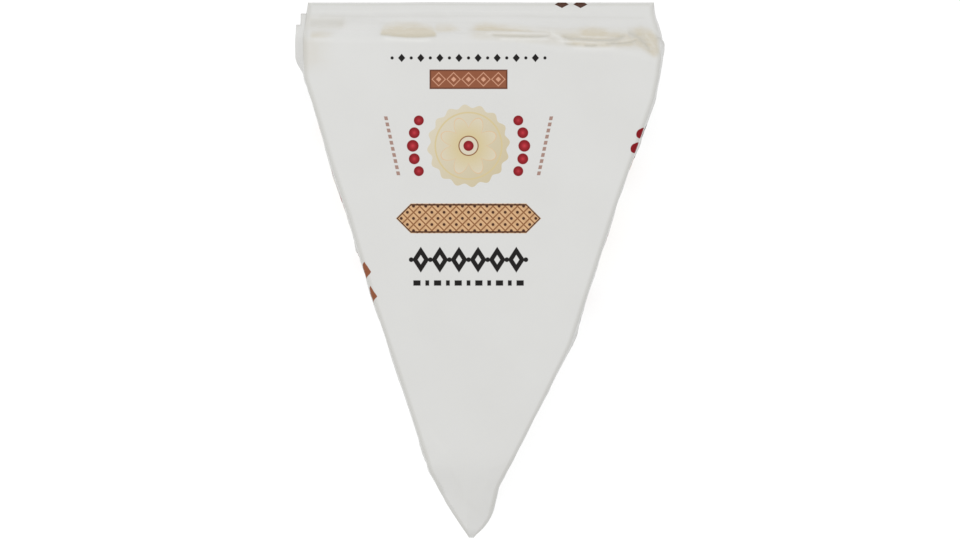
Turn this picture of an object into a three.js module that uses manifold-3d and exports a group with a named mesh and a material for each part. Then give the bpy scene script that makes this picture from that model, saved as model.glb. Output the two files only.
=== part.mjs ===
// A wedge of soft cheese shut in its paper wrap, lying flat with its printed face up.
// One sheet of coated paper is drawn over the top face and down both cut sides, lapped along the
// underside, pinched to a blunt nose at the tip and folded under at the rind end. Nothing inside
// shows, so cheese and wrap are one solid, and each lap of paper stands out of it as a low step.
//
// Millimetres. +Z is up, the tip points to -Y, the rind end to +Y, and the underside rests on Z = 0.
import * as THREE from "three";
import { mergeVertices } from "three/addons/utils/BufferGeometryUtils.js";
import Module from "manifold-3d";

// Driving sizes of the whole pack
const LENGTH = 143; // from the nose to the folded edge at the rind end
const FACE_Z = 28.4; // the printed face's edges, above the table
const CROWN = 0.5; // how much higher the face stands along its middle
const LAP = 0.45; // one lap of folded paper, with the air in it

const TIP_Y = -LENGTH / 2;
const END_Y = LENGTH / 2;
const TOP_Z = FACE_Z + CROWN;
const BASE_Z = 2 * LAP; // the body's own underside, above the two laps of paper that it lies on

// Where the straight runs of each side meet in plan, as [y, x], from the tip to the rind end.
const LEFT_RUN = [
  [TIP_Y, -3.1],
  [-53, -13.2],
  [53, -47.1],
  [END_Y, -46.5],
];
const RIGHT_RUN = [
  [TIP_Y, -1.3],
  [-64, 3.1],
  [-54, 6.3],
  [-18.5, 24.4],
  [50, 47.3],
  [58.5, 48.5],
  [66.5, 47.0],
  [END_Y, 46.9],
];
const RUN_SOFTENING = 1.6; // the bends in a side are rounded over this length either way
const RUN_SAMPLES = 5;

// Section of the sides
const TOP_FILLET = 1.7;
const BASE_FILLET = 1.1;
const FILLET_SHARE = 0.45; // the most of a low or narrow section that one fillet may take
const SIDE_BULGE = 0.5; // the cheese presses the paper out at mid height
const FULL_BULGE_WIDTH = 20; // narrower than this, the bulge fades out

// Nose: the face dips to the tip as a low roof, and the front edge is drawn back under it.
const NOSE_Y = -52;
const NOSE_DROP = 5.2;
const NOSE_SLOPE = 0.3; // fall of the roof's two slopes, per millimetre from its ridge
const NOSE_RIDGE_X = -3.4;
const NOSE_SOFTNESS = 1;
const CHIN_LENGTH = 3.6; // how far back the front edge meets the underside
const CHIN_HEIGHT = 15;
const CHIN_CURVE = 1.5;

// Rind end: past the shoulder a skirt of paper sweeps down to a straight folded edge.
const SHOULDER_Y = 60.8;
const SHOULDER_SOFTNESS = 5;
const FOLD_EDGE_Z = 2.6;
const SKIRT_HOLLOW = 0.4; // 0 is a straight skirt, 1 one that meets the folded edge level
const TUCK_LENGTH = 1.6; // how far the paper turns back below the folded edge
const TUCK_CURVE = 1.8;
// The shoulder drops back towards the right-hand corner in two soft steps.
const SHOULDER_STEPS = [
  { from: 8, to: 24, back: 3.2 },
  { from: 36, to: 48, back: 2.6 },
];
// Gathers pressed into the paper along the shoulder: where they run in x, how far past the
// shoulder, how much they fall back per millimetre to the right, their depth and half width.
const GATHERS = [
  { from: -46, to: -36, past: 2.2, fall: 0, deep: 0.45, half: 1.7 },
  { from: -27, to: -8, past: 1.5, fall: 0.02, deep: 0.9, half: 1.5 },
  { from: 0, to: 18, past: 1, fall: 0.05, deep: 0.75, half: 1 },
  { from: 19, to: 45, past: 2.2, fall: 0.04, deep: 0.9, half: 0.9 },
  { from: 24, to: 44, past: 0.2, fall: 0.06, deep: 0.5, half: 0.8 },
];
const GATHER_ENDS = 3; // each gather fades in and out over this length

// Two laps lie on the left side at the rind end, from their tapered start to their free edge.
const LEFT_LAPS = [
  { start: 44, free: 63.3, thick: 1.3, foot: 1.6 },
  { start: 55, free: 67.3, thick: 0.8, foot: 1.2 },
];
const LEFT_LAP_TAPER = 8;
const LEFT_LAP_ROOT = 1.2; // how far each lap reaches into the body

// Underside: the right-hand panel laps over the left one, then the two ends fold over both.
const SEAM = { fromX: -9, toX: -17, fromY: -50, toY: 66 };
const END_FLAP = { depth: 21, inset: 1.2, slant: 12 };
const TIP_FLAP = { fromY: -67.5, toY: -44, inset: 1, slant: 3 };

// How finely the curved shapes are drawn
const NOSE_STEP = 1.8;
const PLAIN_STEP = 7;
const END_STEP = 1;
const NOSE_MARGIN = 4;
const END_MARGIN = 10;
const FACE_COLUMNS = 30;
const BASE_COLUMNS = 6;
const FILLET_STEPS = 3;
const SIDE_ROWS = 5;
const SEAM_ROWS = 16;
const LAP_STATIONS = 14;
const LAP_ROWS = 7;

const PAPER_COLOUR = 0xdcdcda;
const PAPER_ROUGHNESS = 0.55;

const { clamp, lerp, smoothstep } = THREE.MathUtils;

// Smaller of two heights, with the corner between them rounded over about `softness`.
function softMin(a, b, softness) {
  const near = Math.max(softness - Math.abs(a - b), 0) / softness;
  return Math.min(a, b) - (near * near * softness) / 4;
}

// Side outline

// x on a run of straight stretches at y, before its bends are rounded.
function straightRunX(run, y) {
  const next = run.findIndex(([endY], i) => i > 0 && y <= endY);
  const i = next < 0 ? run.length - 1 : next;
  const [y0, x0] = run[i - 1];
  const [y1, x1] = run[i];
  return lerp(x0, x1, clamp((y - y0) / (y1 - y0), 0, 1));
}

// x on a run at y, as the mean over a short stretch, which rounds each bend.
function runX(run, y) {
  let sum = 0;
  for (let i = 0; i < RUN_SAMPLES; i++) {
    const across = (2 * i) / (RUN_SAMPLES - 1) - 1;
    sum += straightRunX(run, y + RUN_SOFTENING * across);
  }
  return sum / RUN_SAMPLES;
}

// Heights of the wrap

// y of the shoulder, where the face ends and the skirt starts.
function shoulderY(x) {
  return SHOULDER_STEPS.reduce(
    (y, { from, to, back }) => y - back * smoothstep(x, from, to),
    SHOULDER_Y,
  );
}

// Height of the nearly flat printed face.
function faceZ(x, y) {
  const left = runX(LEFT_RUN, y);
  const right = runX(RIGHT_RUN, y);
  const across = (2 * (x - left)) / (right - left) - 1;
  return FACE_Z + CROWN * (1 - across ** 4);
}

// Height of the nose's roof, which is above the face everywhere but at the tip.
function noseZ(x, y) {
  const along = (NOSE_Y - y) / (NOSE_Y - TIP_Y);
  const fall = NOSE_SLOPE * Math.abs(x - NOSE_RIDGE_X) * clamp(along, 0, 1);
  return TOP_Z - NOSE_DROP * along - fall;
}

// Height of the skirt. It is steep below the shoulder and flatter towards the folded edge, and on
// the other side of the shoulder it goes on rising, clear of the face.
function skirtZ(x, y) {
  const left = (END_Y - y) / (END_Y - shoulderY(x));
  const hollow = left < 1 ? SKIRT_HOLLOW * left * (1 - left) : 0;
  return lerp(FOLD_EDGE_Z, TOP_Z, left - hollow);
}

// How deep the gathers press into the paper at a point.
function gatherDepth(x, y) {
  return GATHERS.reduce((depth, { from, to, past, fall, deep, half }) => {
    const along =
      smoothstep(x, from, from + GATHER_ENDS) *
      (1 - smoothstep(x, to - GATHER_ENDS, to));
    const middle = shoulderY(x) + past - fall * (x - from);
    return depth + deep * along * Math.exp(-(((y - middle) / half) ** 2));
  }, 0);
}

// Height of the top surface anywhere in plan.
function topZ(x, y) {
  const over = softMin(faceZ(x, y), skirtZ(x, y), SHOULDER_SOFTNESS);
  const z = softMin(over, noseZ(x, y), NOSE_SOFTNESS);
  return Math.max(z - gatherDepth(x, y), FOLD_EDGE_Z);
}

// Height of the underside, which is drawn up at the nose and at the folded edge.
function baseZ(y) {
  const chin = clamp((TIP_Y + CHIN_LENGTH - y) / CHIN_LENGTH, 0, 1);
  const tuck = clamp((y - END_Y + TUCK_LENGTH) / TUCK_LENGTH, 0, 1);
  const tuckHeight = FOLD_EDGE_Z - LAP - BASE_Z;
  return (
    BASE_Z + CHIN_HEIGHT * chin ** CHIN_CURVE + tuckHeight * tuck ** TUCK_CURVE
  );
}

// Body

// Points of a quarter turn about [x, z], starting at a number of quarter turns from +X.
function fillet(x, z, radius, quarter) {
  return Array.from({ length: FILLET_STEPS + 1 }, (_, i) => {
    const angle = (Math.PI / 2) * (quarter + i / FILLET_STEPS);
    return [x + radius * Math.cos(angle), z + radius * Math.sin(angle)];
  });
}

// Points of one side between its two fillets, pressed out by `bulge` at mid height.
function sidePoints(x, bulge, from, to) {
  return Array.from({ length: SIDE_ROWS - 1 }, (_, i) => {
    const up = (i + 1) / SIDE_ROWS;
    return [x + bulge * Math.sin(Math.PI * up), lerp(from, to, up)];
  });
}

// Points between two fillets, at the height that `z` gives for each x.
function spanPoints(from, to, columns, z) {
  return Array.from({ length: columns - 1 }, (_, i) => {
    const x = lerp(from, to, (i + 1) / columns);
    return [x, z(x)];
  });
}

// One closed section of the body at y, as [x, z] points.
function section(y) {
  const left = runX(LEFT_RUN, y);
  const right = runX(RIGHT_RUN, y);
  const width = right - left;
  const foot = baseZ(y);
  const bulge = SIDE_BULGE * Math.min(width / FULL_BULGE_WIDTH, 1);

  const radius = (wanted, x) =>
    Math.min(wanted, FILLET_SHARE * (topZ(x, y) - foot), (FILLET_SHARE * width) / 2);
  const footLeft = radius(BASE_FILLET, left);
  const footRight = radius(BASE_FILLET, right);
  const topLeft = radius(TOP_FILLET, left);
  const topRight = radius(TOP_FILLET, right);
  const leftZ = topZ(left + topLeft, y) - topLeft;
  const rightZ = topZ(right - topRight, y) - topRight;

  return [
    ...spanPoints(left + footLeft, right - footRight, BASE_COLUMNS, () => foot),
    ...fillet(right - footRight, foot + footRight, footRight, -1),
    ...sidePoints(right, bulge, foot + footRight, rightZ),
    ...fillet(right - topRight, rightZ, topRight, 0),
    ...spanPoints(right - topRight, left + topLeft, FACE_COLUMNS, (x) => topZ(x, y)),
    ...fillet(left + topLeft, leftZ, topLeft, 1),
    ...sidePoints(left, -bulge, leftZ, foot + footLeft),
    ...fillet(left + footLeft, foot + footLeft, footLeft, 2),
  ];
}

// The y of every section: close together over the nose and the rind end, further apart between.
function stations() {
  const ys = [];
  const stretch = (from, to, step) => {
    const count = Math.ceil((to - from) / step);
    for (let i = 0; i < count; i++) ys.push(lerp(from, to, i / count));
  };
  stretch(TIP_Y, NOSE_Y + NOSE_MARGIN, NOSE_STEP);
  stretch(NOSE_Y + NOSE_MARGIN, SHOULDER_Y - END_MARGIN, PLAIN_STEP);
  stretch(SHOULDER_Y - END_MARGIN, END_Y, END_STEP);
  return [...ys, END_Y];
}

// A closed skin through equal rings of [x, y, z] points, with a flat cap at either end.
function loft(rings) {
  const size = rings[0].length;
  const last = rings.length - 1;
  const positions = rings.flat(2);
  const indices = [];
  for (let r = 0; r < last; r++) {
    for (let i = 0; i < size; i++) {
      const a = r * size + i;
      const b = r * size + ((i + 1) % size);
      indices.push(a, a + size, b, b, a + size, b + size);
    }
  }
  const cap = (ring, order) => {
    const middle = positions.length / 3;
    const centre = new THREE.Vector3();
    rings[ring].forEach((point) => centre.add(new THREE.Vector3(...point)));
    positions.push(...centre.divideScalar(size));
    for (let i = 0; i < size; i++) {
      const edge = [ring * size + i, ring * size + ((i + 1) % size)];
      indices.push(middle, edge[order], edge[1 - order]);
    }
  };
  cap(0, 0);
  cap(last, 1);
  const geometry = new THREE.BufferGeometry();
  geometry.setAttribute(
    "position",
    new THREE.Float32BufferAttribute(positions, 3),
  );
  return geometry.setIndex(indices);
}

function bodyGeometry() {
  return loft(stations().map((y) => section(y).map(([x, z]) => [x, y, z])));
}

// Laps of paper

// A flat lap on the underside, from an outline of [x, y] points, reaching from z up into the body.
function flatLapGeometry(outline, z) {
  const shape = new THREE.Shape(outline.map(([x, y]) => new THREE.Vector2(x, y)));
  const geometry = new THREE.ExtrudeGeometry(shape, {
    depth: BASE_Z + LAP - z,
    bevelEnabled: false,
  });
  return geometry.translate(0, 0, z);
}

// The right-hand panel's lap, from its free edge near the middle to the right side.
function seamOutline() {
  const { fromX, toX, fromY, toY } = SEAM;
  const side = Array.from({ length: SEAM_ROWS + 1 }, (_, i) => {
    const y = lerp(fromY, toY, i / SEAM_ROWS);
    return [runX(RIGHT_RUN, y) - BASE_FILLET, y];
  });
  return [[toX, toY], [fromX, fromY], ...side];
}

// The flap folded under at the rind end, narrower at its free edge.
function endFlapOutline() {
  const { depth, inset, slant } = END_FLAP;
  const backY = END_Y - TUCK_LENGTH;
  const freeY = END_Y - depth;
  return [
    [runX(LEFT_RUN, backY) + inset, backY],
    [runX(LEFT_RUN, freeY) + slant, freeY],
    [runX(RIGHT_RUN, freeY) - slant, freeY],
    [runX(RIGHT_RUN, backY) - inset, backY],
  ];
}

// The small flap folded under at the tip.
function tipFlapOutline() {
  const { fromY, toY, inset, slant } = TIP_FLAP;
  return [
    [runX(LEFT_RUN, fromY) + inset, fromY],
    [runX(RIGHT_RUN, fromY) - inset, fromY],
    [runX(RIGHT_RUN, toY) - slant, toY],
    [runX(LEFT_RUN, toY) + slant, toY],
  ];
}

// A lap lying on the left side, tapered where it starts and thickest at its free edge.
function leftLapGeometry({ start, free, thick, foot }) {
  const ring = (y) => {
    const wall = runX(LEFT_RUN, y);
    const root = wall + LEFT_LAP_ROOT;
    const out = thick * smoothstep(y, start, start + LEFT_LAP_TAPER);
    const top = topZ(wall + TOP_FILLET, y) - TOP_FILLET / 2;
    const face = Array.from({ length: LAP_ROWS + 1 }, (_, i) => {
      const up = 1 - i / LAP_ROWS;
      const bulge = SIDE_BULGE * Math.sin(Math.PI * up);
      return [wall - out - bulge, y, lerp(foot, top - LAP - out, up)];
    });
    return [[root, y, top - LAP], [wall - out / 2, y, top], ...face, [root, y, foot]];
  };
  return loft(
    Array.from({ length: LAP_STATIONS + 1 }, (_, i) =>
      ring(lerp(start, free, i / LAP_STATIONS)),
    ),
  );
}

// Joining

const wasm = await Module();
wasm.setup();

// The closed mesh of a geometry as a solid that can be joined.
function solid(geometry) {
  geometry.deleteAttribute("normal");
  geometry.deleteAttribute("uv");
  const merged = mergeVertices(geometry, 1e-4);
  return new wasm.Manifold(
    new wasm.Mesh({
      numProp: 3,
      vertProperties: merged.getAttribute("position").array,
      triVerts: new Uint32Array(merged.getIndex().array),
    }),
  );
}

// A joined solid as a geometry again.
function geometryOf(joined) {
  const { vertProperties, triVerts } = joined.getMesh();
  const geometry = new THREE.BufferGeometry();
  geometry.setAttribute(
    "position",
    new THREE.BufferAttribute(new Float32Array(vertProperties), 3),
  );
  geometry.setIndex(new THREE.BufferAttribute(new Uint32Array(triVerts), 1));
  geometry.computeVertexNormals();
  return geometry;
}

function wrappedWedge() {
  const laps = [
    flatLapGeometry(seamOutline(), LAP),
    flatLapGeometry(endFlapOutline(), 0),
    flatLapGeometry(tipFlapOutline(), 0),
    ...LEFT_LAPS.map(leftLapGeometry),
  ];
  const joined = laps.reduce(
    (whole, lap) => whole.add(solid(lap)),
    solid(bodyGeometry()),
  );
  const paper = new THREE.MeshStandardMaterial({
    color: PAPER_COLOUR,
    roughness: PAPER_ROUGHNESS,
    metalness: 0,
  });
  const mesh = new THREE.Mesh(geometryOf(joined), paper);
  mesh.name = "wrapped_wedge";
  return mesh;
}

const pack = new THREE.Group();
pack.add(wrappedWedge());

export default pack;
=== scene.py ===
"""Dresses a paper-wrapped wedge of soft cheese: its folded wrap, the wrap's print and a plain studio.

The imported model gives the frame: +Z is up, the tip points to -Y and the rind end to +Y. Shapes are
worked out in millimetres, and every mesh is made in metres.
"""

import logging
import math
from dataclasses import dataclass, field
from enum import Enum

import bmesh
import bpy
import numpy as np
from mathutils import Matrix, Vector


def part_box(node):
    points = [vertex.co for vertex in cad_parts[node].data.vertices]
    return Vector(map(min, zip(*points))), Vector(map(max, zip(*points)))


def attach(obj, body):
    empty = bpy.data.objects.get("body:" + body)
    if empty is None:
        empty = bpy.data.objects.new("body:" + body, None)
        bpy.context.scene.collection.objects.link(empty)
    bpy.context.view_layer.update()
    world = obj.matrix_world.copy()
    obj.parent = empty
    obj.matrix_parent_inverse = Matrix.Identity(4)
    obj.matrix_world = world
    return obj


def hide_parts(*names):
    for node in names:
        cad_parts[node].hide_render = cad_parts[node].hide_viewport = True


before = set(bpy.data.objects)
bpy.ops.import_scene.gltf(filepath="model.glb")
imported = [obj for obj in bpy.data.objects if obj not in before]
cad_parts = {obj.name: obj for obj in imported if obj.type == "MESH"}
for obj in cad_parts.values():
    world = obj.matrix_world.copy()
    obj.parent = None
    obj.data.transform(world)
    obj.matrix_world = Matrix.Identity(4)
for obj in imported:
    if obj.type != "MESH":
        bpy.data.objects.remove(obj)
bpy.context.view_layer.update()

Array = np.ndarray
Pair = tuple[float, float]
Colour = tuple[float, float, float]

BODY = "root"
NODE = "wrapped_wedge"
MM = 0.001
SEED = 41
SHEET_UV = "sheet"
PRINT_UV = "print"
STAIN = "stain"
# The attribute below carries painted shade (above 0) and painted highlights (below 0).
SHADE_AND_HIGHLIGHT = "crease"
GIVE = "give"
BLANK = 400.0
DESIGN_MIDDLE = (-3.0, 26.0)

log = logging.getLogger("brie_wedge")


def srgb(red: int, green: int, blue: int) -> Colour:
    """Turns a screen colour of 0 to 255 into the linear values that shaders take.

    Args:
        red: The red value.
        green: The green value.
        blue: The blue value.

    Returns:
        The linear colour.
    """

    def linear(value: int) -> float:
        """Undoes the screen's gamma for one value."""
        share = value / 255
        return share / 12.92 if share <= 0.04045 else ((share + 0.055) / 1.055) ** 2.4

    return linear(red), linear(green), linear(blue)


def smooth_step(value: Array, low: float, high: float) -> Array:
    """Rises smoothly from 0 at low to 1 at high.

    Args:
        value: The numbers to place on the rise.
        low: Where it starts.
        high: Where it ends.

    Returns:
        The share of the rise for each number.
    """
    share = np.clip((value - low) / (high - low), 0, 1)
    return share * share * (3 - 2 * share)


def soft_min(first: Array, second: Array, softness: float) -> Array:
    """Takes the lower of two heights, with the corner between them rounded over.

    Args:
        first: One height.
        second: The other height.
        softness: How near the two are where the rounding starts, in millimetres.

    Returns:
        The blended height.
    """
    near = np.maximum(softness - np.abs(first - second), 0) / softness
    return np.minimum(first, second) - near * near * softness / 4


@dataclass(frozen=True)
class SideRun:
    """One cut side of the pack in plan, as the points where its straight stretches meet."""

    ys: tuple[float, ...]
    xs: tuple[float, ...]
    bulge: float = 0.5
    swell: float = 0.0
    swell_y: float = 58.0
    swell_reach: float = 9.0
    straight: Pair = (-40.0, 40.0)
    softening: float = 1.1

    def x(self, y: Array) -> Array:
        """Gives the side's x, with each bend rounded over the softening length."""
        spread = np.linspace(-self.softening, self.softening, 9)
        return np.mean([np.interp(y + step, self.ys, self.xs) for step in spread], axis=0)

    def press(self, y: Array) -> Array:
        """Gives how far the cheese presses the side out at mid height."""
        return self.bulge + self.swell * np.exp(-(((y - self.swell_y) / self.swell_reach) ** 2))

    def lean(self) -> float:
        """Gives how far the side's long straight moves in x for each millimetre of y."""
        low, high = self.straight
        return float(np.diff(np.interp(self.straight, self.ys, self.xs))[0]) / (high - low)

    def outward(self, sign: int) -> Array:
        """Gives the unit vector that points out of the long straight, in plan.

        Args:
            sign: 1 on the right-hand side and -1 on the left.

        Returns:
            The vector's x and y.
        """
        return sign * np.array((1.0, -self.lean())) / math.hypot(1, self.lean())


@dataclass(frozen=True)
class Pleat:
    """A fold pressed into the paper at the rind end, along a few points in plan.

    A crease goes down, with painted shade along it where its tone is above 0. A ridge has a depth and a tone
    below 0:
    it stands up and gets a painted highlight.
    """

    xs: tuple[float, ...]
    ys: tuple[float, ...]
    deep: float
    half: float
    # Above 0, painted shade along the fold; below 0, a painted highlight.
    tone: float = 0.0
    fade: float = 1.6
    softening: float = 0.7

    def profile(self, x: Array, y: Array) -> Array:
        """Gives the fold's share of its depth at points in plan."""
        along = smooth_step(x, self.xs[0], self.xs[0] + self.fade)
        along = along * (1 - smooth_step(x, self.xs[-1] - self.fade, self.xs[-1]))
        spread = np.linspace(-self.softening, self.softening, 5)
        middle = np.mean([np.interp(x + step, self.xs, self.ys) for step in spread], axis=0)
        return along * np.exp(-np.abs((y - middle) / self.half) ** 1.4)


@dataclass(frozen=True)
class Stain:
    """A damp cream-coloured patch in the paper, as the two edges of its band in plan."""

    xs: tuple[float, ...]
    near: tuple[float, ...]
    far: tuple[float, ...]
    strength: float
    start: float = 0.7
    fade: float = 4.0
    near_edge: float = 0.4
    far_edge: float = 2.0

    def share(self, x: Array, y: Array) -> Array:
        """Gives how strong the patch is at points in plan, crisp at its start and its near edge."""
        low, high = np.interp(x, self.xs, self.near), np.interp(x, self.xs, self.far)
        inside = smooth_step(y, low - self.near_edge, low + self.near_edge)
        inside = inside * (1 - smooth_step(y, high - self.far_edge, high + 0.8))
        ends = smooth_step(x, self.xs[0] - 0.3, self.xs[0] + self.start)
        ends = ends * (1 - smooth_step(x, self.xs[-1] - self.fade, self.xs[-1]))
        return self.strength * inside * ends


@dataclass(frozen=True)
class Crease:
    """A straight fold line in the paper, in the flat sheet's own coordinates."""

    start: Pair
    stop: Pair
    height: float
    width: float

    def relief(self, u: Array, v: Array) -> Array:
        """Gives how far the crease lifts the paper at points of the sheet, in millimetres."""
        along = np.subtract(self.stop, self.start)
        length = float(np.hypot(*along))
        direction = along / length
        across_u, across_v = u - self.start[0], v - self.start[1]
        run = (across_u * direction[0] + across_v * direction[1]) / length
        off = np.abs(across_v * direction[0] - across_u * direction[1]) / self.width
        fade = np.clip(4 * run * (1 - run), 0, 1) ** 0.7
        return self.height * fade * np.exp(-off)


@dataclass(frozen=True)
class WallFold:
    """A fold line on one side of the pack, from one place to another.

    Each place is how far along the side it lies, in y, and how far down from the face's edge.
    """

    sign: int
    start: Pair
    stop: Pair
    height: float
    width: float

    def crease(self, side: SideRun) -> Crease:
        """Lays the fold in the flat sheet's coordinates.

        Args:
            side: The run in plan of the side that the fold is on.

        Returns:
            The same line as a crease of the sheet.
        """
        outward = side.outward(self.sign)
        ends = []
        for along, down in (self.start, self.stop):
            edge = np.array((float(side.x(np.array(along))), along))
            ends.append(tuple(edge + down * outward))
        return Crease(ends[0], ends[1], self.height, self.width)


class Zone(Enum):
    """A stretch of the sheet that has its own way of creasing: low u, high u, low v, high v."""

    SHOULDER = (-44.0, 45.0, 55.0, 66.0)
    SKIRT = (-44.0, 44.0, 64.0, 90.0)
    FACE = (-40.0, 40.0, -40.0, 56.0)
    NOSE = (-16.0, 10.0, -72.0, -44.0)
    LEFT_WALL = (-72.0, -16.0, -66.0, 62.0)
    RIGHT_WALL = (14.0, 74.0, -66.0, 58.0)

    @property
    def on_side(self) -> bool:
        """Whether the zone is one of the pack's two sides."""
        return self in (Zone.LEFT_WALL, Zone.RIGHT_WALL)


@dataclass(frozen=True)
class Crumple:
    """How one zone of the paper is creased: how many lines, how long, which way and how deep."""

    zone: Zone
    count: int
    length: Pair
    heading: Pair
    height: Pair
    width: Pair

    def creases(self, random: np.random.Generator) -> list[Crease]:
        """Draws the zone's creases.

        Args:
            random: The seeded source of the draws.

        Returns:
            The creases, each wholly described in the sheet's coordinates.
        """
        low_u, high_u, low_v, high_v = self.zone.value
        found = []
        for _ in range(self.count):
            centre = np.array((random.uniform(low_u, high_u), random.uniform(low_v, high_v)))
            heading = math.radians(random.uniform(*self.heading))
            reach = np.array((math.cos(heading), math.sin(heading))) * random.uniform(*self.length) / 2
            lift = random.uniform(*self.height) * random.choice((-1, 1))
            found.append(
                Crease(tuple(centre - reach), tuple(centre + reach), lift, random.uniform(*self.width))
            )
        return found


def cad_sizes() -> tuple[float, float, float]:
    """Reads the pack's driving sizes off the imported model.

    Returns:
        The y of the tip, the y of the folded edge and the height of the crown, in millimetres.
    """
    low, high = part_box(NODE)
    return low.y / MM, high.y / MM, high.z / MM


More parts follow.
